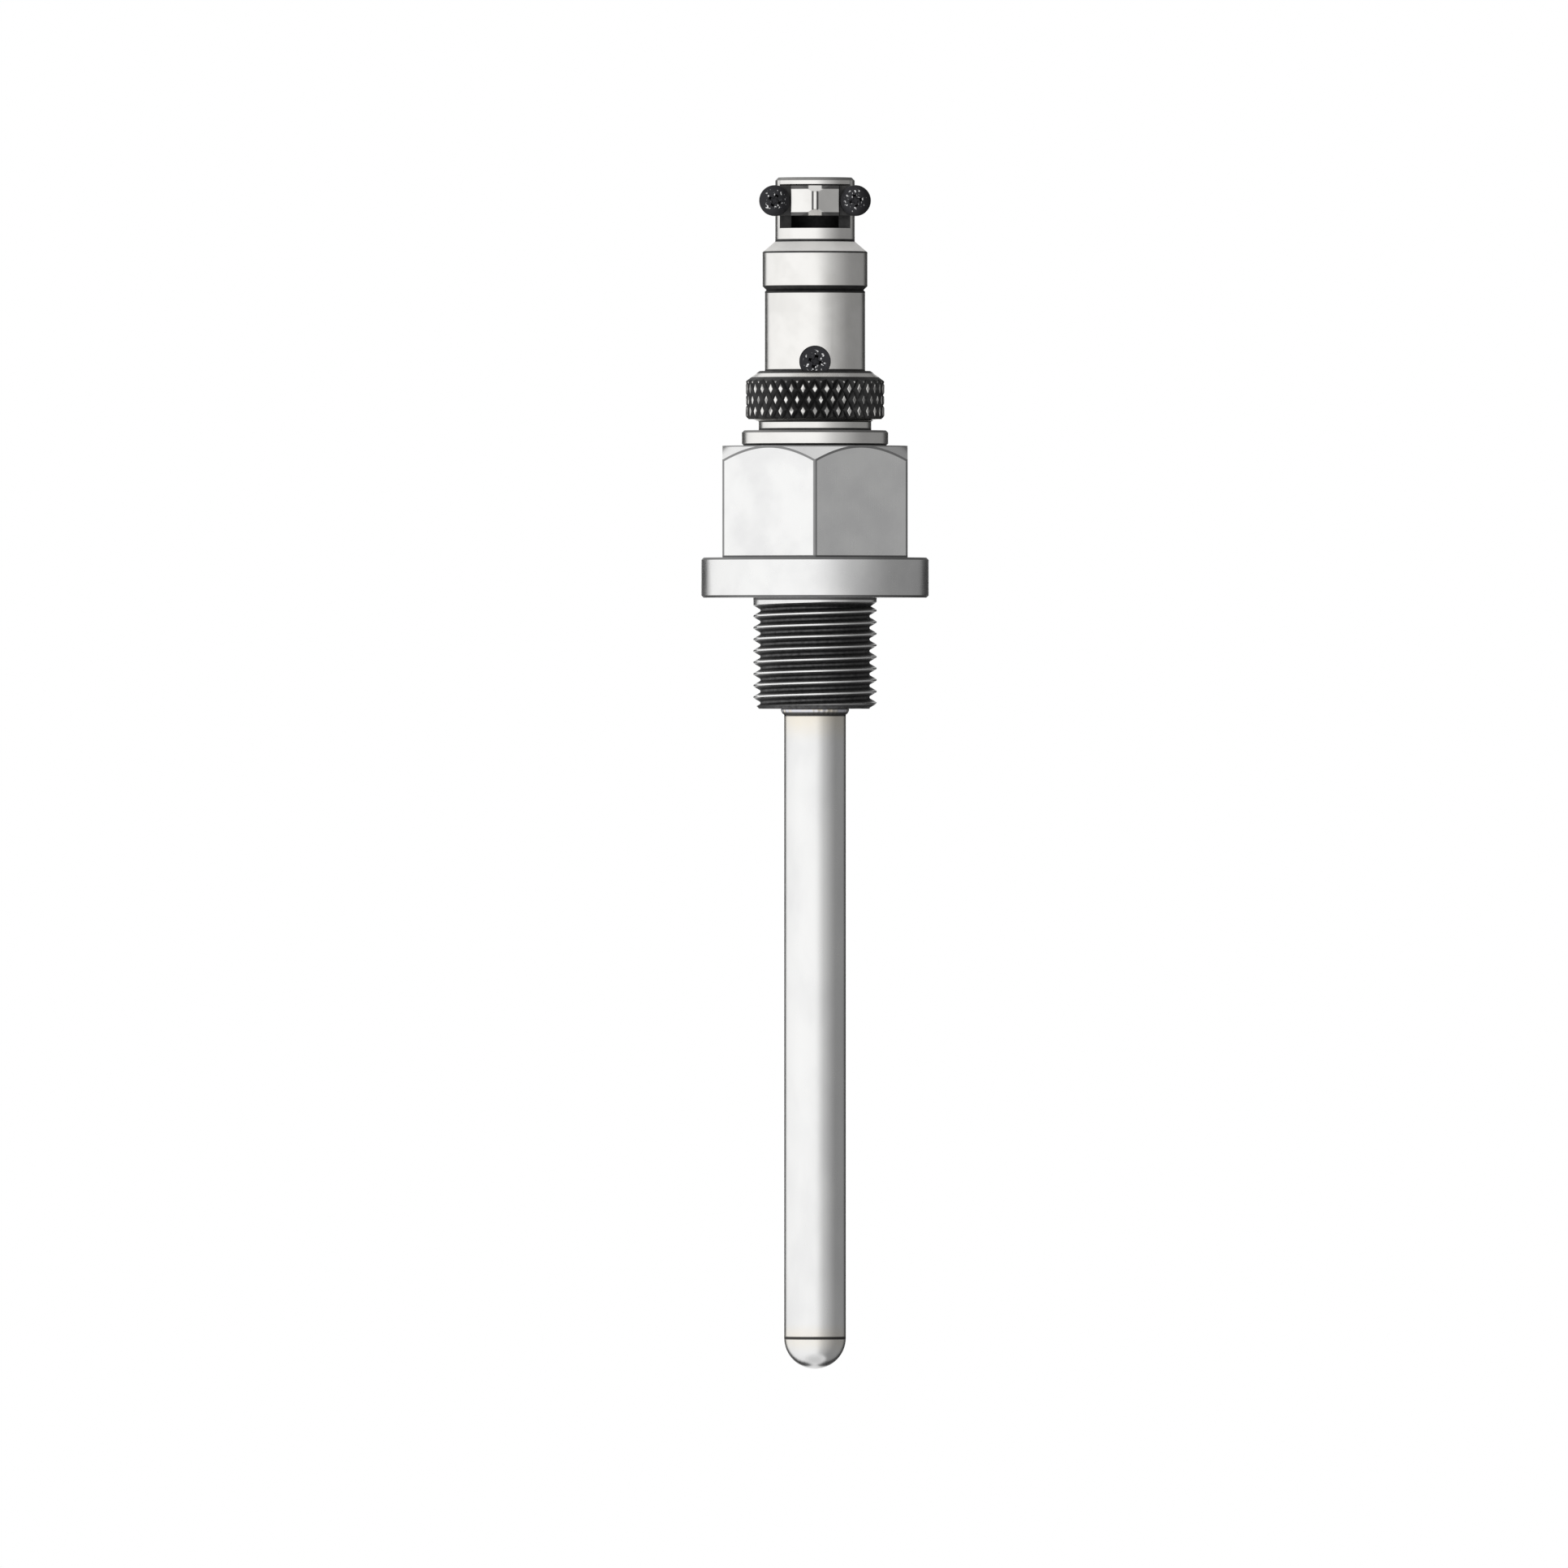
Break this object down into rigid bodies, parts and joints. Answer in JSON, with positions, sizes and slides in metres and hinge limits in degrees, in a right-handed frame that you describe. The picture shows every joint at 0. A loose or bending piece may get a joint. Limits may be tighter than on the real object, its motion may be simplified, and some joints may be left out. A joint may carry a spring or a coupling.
{
  "type": "rtd probe with connector head",
  "caption": "Resistance temperature probe: round-tipped sheath, threaded hexagon fitting with a flange, and a plug-and-socket head with a cable clamp.",
  "frame": {"origin": "centre of the flange's underside, on the probe's axis", "axes": "+Z along the axis towards the cable entry, -Y towards the side with the screw heads"},
  "size_m": [0.0295, 0.0294, 0.1545],
  "materials": {
    "stainless_steel": "fine turned and brushed",
    "nickel_plate": "nickel-plated brass, satin",
    "screw_steel": "black oxide over steel",
    "spring_steel": "phosphated",
    "gold_plate": "gold-plated",
    "insulator_plastic": "moulded, matt",
    "washer_plastic": "smooth, low friction",
    "seal_rubber": "moulded rubber",
    "epoxy_resin": "cast resin",
    "ceramic": "fired alumina",
    "cement": "set cement, gritty",
    "sleeve_plastic": "shrunk sleeve",
    "wire_red": "smooth insulation",
    "wire_white": "smooth insulation",
    "splice_tin": "tin-plated"
  },
  "bodies": {
    "probe": {"fitting_body": "stainless_steel", "sheath_tube": "stainless_steel", "sheath_tip": "stainless_steel", "sheath_weld": "stainless_steel", "receptacle_shell": "nickel_plate", "insert_circlip": "spring_steel", "receptacle_seal": "seal_rubber", "receptacle_insert": "insulator_plastic", "epoxy_seal": "epoxy_resin", "rtd_element": "ceramic", "tip_filler": "cement", "contact_pin_1": "gold_plate", "solder_sleeve_1": "sleeve_plastic", "lead_wire_1": "wire_red", "contact_pin_2": "gold_plate", "solder_sleeve_2": "sleeve_plastic", "lead_wire_2": "wire_white", "contact_pin_3": "gold_plate", "solder_sleeve_3": "sleeve_plastic", "lead_wire_3": "wire_white", "contact_pin_4": "gold_plate", "solder_sleeve_4": "sleeve_plastic", "lead_wire_4": "wire_red", "insulator_bead_1": "ceramic", "insulator_bead_2": "ceramic", "insulator_bead_3": "ceramic", "lead_splice_1": "splice_tin", "element_lead_1": "splice_tin", "lead_splice_2": "splice_tin", "element_lead_2": "splice_tin"},
    "plug": {"plug_shell": "nickel_plate", "back_shell": "nickel_plate", "plug_gasket": "seal_rubber", "plug_insert": "insulator_plastic", "insert_lock_screw": "screw_steel", "clamp_saddle": "nickel_plate", "clamp_screw_left": "screw_steel", "clamp_screw_right": "screw_steel", "socket_contact_1": "gold_plate", "socket_contact_2": "gold_plate", "socket_contact_3": "gold_plate", "socket_contact_4": "gold_plate"},
    "ring_washer": {"ring_slip_washer": "washer_plastic"},
    "ring": {"coupling_ring": "nickel_plate"}
  },
  "joints": [
    {"name": "plug_pull", "type": "slide", "parent": "probe", "child": "plug", "axis": [0, 0, 1], "range_m": [0, 0.012]},
    {"name": "ring_back_off", "type": "slide", "parent": "plug", "child": "ring_washer", "axis": [0, 0, 1], "range_m": [0, 0.004]},
    {"name": "ring_turn", "type": "hinge", "parent": "ring_washer", "child": "ring", "pos_m": [0, 0, 0.026], "axis": [0, 0, 1], "range_deg": [0, 1440]}
  ],
  "couplings": [
    {"joint": "ring_back_off", "follows": "ring_turn", "m_per_rad": 0.00015915}
  ]
}
